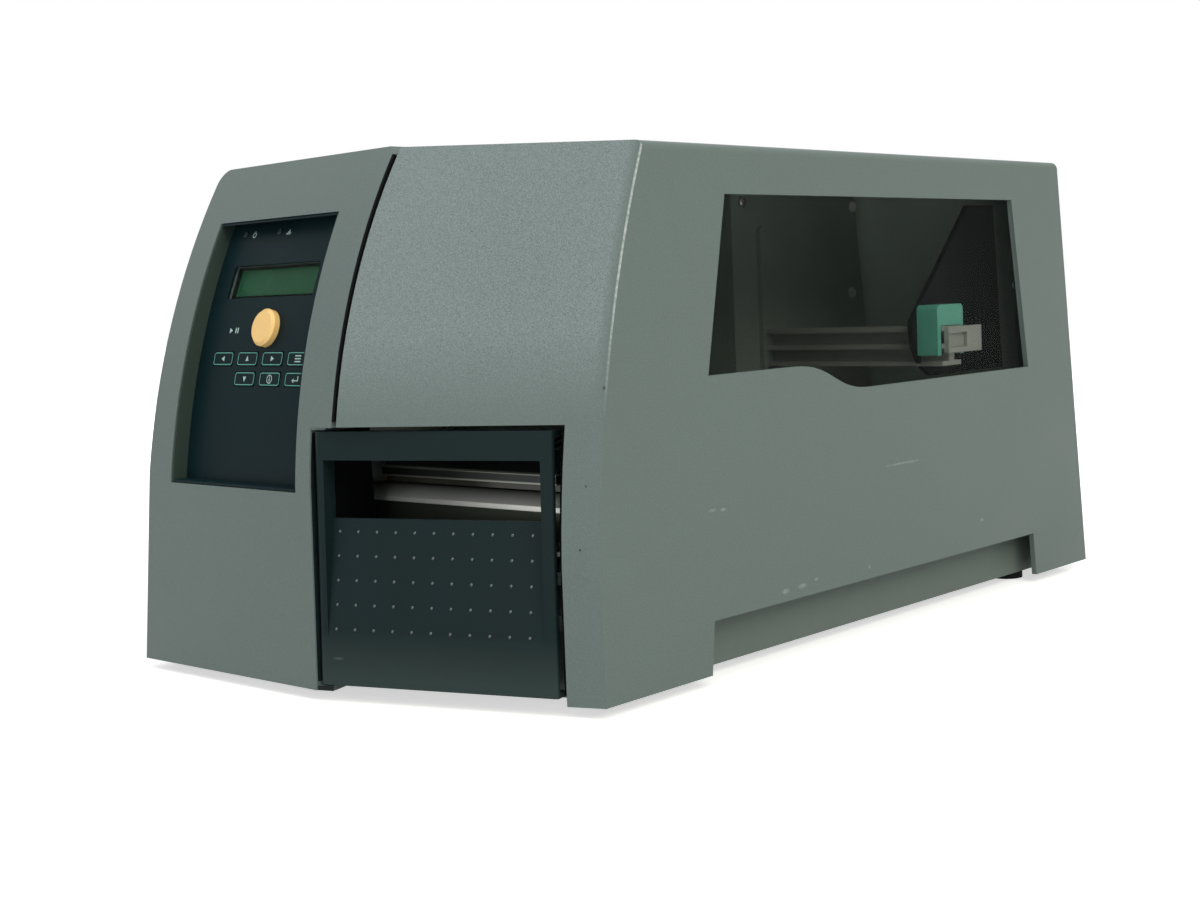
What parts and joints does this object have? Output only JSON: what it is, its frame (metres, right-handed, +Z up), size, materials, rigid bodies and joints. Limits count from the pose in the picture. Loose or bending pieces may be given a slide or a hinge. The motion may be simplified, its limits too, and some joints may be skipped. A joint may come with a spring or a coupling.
{
  "type": "thermal label printer",
  "caption": "Desktop industrial label printer with curved console, keypad and display, hinged side door with smoked window, label slot door and inner print mechanism.",
  "frame": {"origin": "on the table under the middle of the casing", "axes": "+X to the right seen from the front, +Y to the rear, +Z up"},
  "size_m": [0.276, 0.496, 0.255],
  "materials": {
    "casing_plastic": "fine textured moulding",
    "dark_plastic": "fine textured moulding",
    "key_film": "printed membrane",
    "smoked_window": "smoked clear plastic",
    "display_window": "clear plastic over a green display",
    "display_glass": "green liquid crystal display",
    "amber_plastic": "smooth moulding",
    "lens": "clear lens",
    "base_plastic": "moulded base",
    "rubber": "matt",
    "grey_sheet": "powder coated sheet",
    "steel": "bright",
    "bronze": "sintered bushes",
    "aluminium": "die cast",
    "head_ceramic": "glazed strip",
    "motor_black": "black",
    "teal_plastic": "smooth moulding",
    "grey_plastic": "moulded",
    "black_plastic": "moulded",
    "circuit_board": "solder mask",
    "supply_metal": "plated sheet"
  },
  "bodies": {
    "chassis": {"base_tray": "base_plastic", "foot_front_left": "rubber", "foot_rear_left": "rubber", "foot_front_right": "rubber", "foot_rear_right": "rubber", "center_wall": "grey_sheet", "hinge_rail": "grey_sheet", "hinge_rod": "steel", "left_cover": "casing_plastic", "front_console": "casing_plastic", "keypad_panel": "dark_plastic", "display_window": "display_window", "lcd_module": "display_glass", "indicator_power": "lens", "indicator_status": "lens", "console_board": "circuit_board", "door_catch": "steel", "print_frame": "steel", "tear_bar": "steel", "platen_bearing_left": "bronze", "platen_bearing_right": "bronze", "drive_belt": "rubber", "motor_bracket": "grey_sheet", "stepper_motor": "motor_black", "head_shaft": "steel", "gap_sensor": "black_plastic", "guide_rod": "steel", "supply_panel": "grey_sheet", "post_bracket": "steel", "supply_post": "grey_plastic", "rear_panel": "grey_sheet", "power_inlet": "black_plastic", "switch_bezel": "black_plastic", "parallel_port": "black_plastic", "serial_port": "black_plastic", "main_board": "circuit_board", "power_supply": "supply_metal"},
    "side_door": {"side_door": "casing_plastic", "door_window": "smoked_window"},
    "front_door": {"front_door": "dark_plastic"},
    "feed_button": {"feed_button": "amber_plastic"},
    "platen": {"platen_roller": "rubber", "platen_shaft": "steel", "platen_pulley": "aluminium"},
    "motor_rotor": {"motor_pulley": "aluminium"},
    "print_head": {"thermal_head": "head_ceramic", "head_bracket": "aluminium"},
    "lift_lever": {"lift_lever": "teal_plastic"},
    "edge_guide": {"edge_guide": "teal_plastic"},
    "roll_retainer": {"roll_retainer": "teal_plastic", "retainer_wing": "black_plastic"},
    "switch_rocker": {"switch_rocker": "black_plastic"},
    "key_left": {"key_left": "key_film"},
    "key_up": {"key_up": "key_film"},
    "key_right": {"key_right": "key_film"},
    "key_setup": {"key_setup": "key_film"},
    "key_down": {"key_down": "key_film"},
    "key_info": {"key_info": "key_film"},
    "key_enter": {"key_enter": "key_film"}
  },
  "joints": [
    {"name": "side_door_hinge", "type": "hinge", "parent": "chassis", "child": "side_door", "pos_m": [0.018, 0, 0.2505], "axis": [0, -1, 0], "range_deg": [0, 115]},
    {"name": "front_door_hinge", "type": "hinge", "parent": "chassis", "child": "front_door", "pos_m": [0.00379, -0.24237, 0.00802], "axis": [0.0139, -0.0432, -0.999], "range_deg": [0, 100]},
    {"name": "feed_button_press", "type": "slide", "parent": "chassis", "child": "feed_button", "axis": [0.0666, 0.9509, -0.3023], "range_m": [0, 0.0015], "stiffness_N_per_m": 400},
    {"name": "key_left_press", "type": "slide", "parent": "chassis", "child": "key_left", "axis": [0.0621, 0.9599, -0.2735], "range_m": [0, 0.0004], "stiffness_N_per_m": 400},
    {"name": "key_up_press", "type": "slide", "parent": "chassis", "child": "key_up", "axis": [0.0623, 0.962, -0.2659], "range_m": [0, 0.0004], "stiffness_N_per_m": 400},
    {"name": "key_right_press", "type": "slide", "parent": "chassis", "child": "key_right", "axis": [0.0624, 0.9641, -0.2582], "range_m": [0, 0.0004], "stiffness_N_per_m": 400},
    {"name": "key_setup_press", "type": "slide", "parent": "chassis", "child": "key_setup", "axis": [0.0625, 0.9661, -0.2505], "range_m": [0, 0.0004], "stiffness_N_per_m": 400},
    {"name": "key_down_press", "type": "slide", "parent": "chassis", "child": "key_down", "axis": [0.0588, 0.9692, -0.239], "range_m": [0, 0.0004], "stiffness_N_per_m": 400},
    {"name": "key_info_press", "type": "slide", "parent": "chassis", "child": "key_info", "axis": [0.059, 0.9713, -0.2305], "range_m": [0, 0.0004], "stiffness_N_per_m": 400},
    {"name": "key_enter_press", "type": "slide", "parent": "chassis", "child": "key_enter", "axis": [0.0591, 0.9733, -0.2219], "range_m": [0, 0.0004], "stiffness_N_per_m": 400},
    {"name": "platen_spin", "type": "hinge", "parent": "chassis", "child": "platen", "pos_m": [0, -0.178, 0.0863], "axis": [1, 0, 0], "continuous": true},
    {"name": "motor_spin", "type": "hinge", "parent": "chassis", "child": "motor_rotor", "pos_m": [-0.044, -0.126, 0.056], "axis": [1, 0, 0], "continuous": true},
    {"name": "head_lift", "type": "hinge", "parent": "chassis", "child": "print_head", "pos_m": [0, -0.132, 0.1163], "axis": [-1, 0, 0], "range_deg": [0, 8]},
    {"name": "lever_turn", "type": "hinge", "parent": "chassis", "child": "lift_lever", "pos_m": [0.1175, -0.15, 0.1043], "axis": [-1, 0, 0], "range_deg": [0, 60]},
    {"name": "edge_guide_slide", "type": "slide", "parent": "chassis", "child": "edge_guide", "axis": [1, 0, 0], "range_m": [-0.08, 0.003]},
    {"name": "retainer_slide", "type": "slide", "parent": "chassis", "child": "roll_retainer", "axis": [1, 0, 0], "range_m": [-0.09, 0]},
    {"name": "rocker_tip", "type": "hinge", "parent": "chassis", "child": "switch_rocker", "pos_m": [-0.062, 0.22821, 0.04763], "axis": [1, 0, 0], "range_deg": [-9, 9]}
  ],
  "couplings": [
    {"joint": "motor_spin", "follows": "platen_spin", "ratio": 2},
    {"joint": "lever_turn", "follows": "head_lift", "ratio": 7.5}
  ]
}
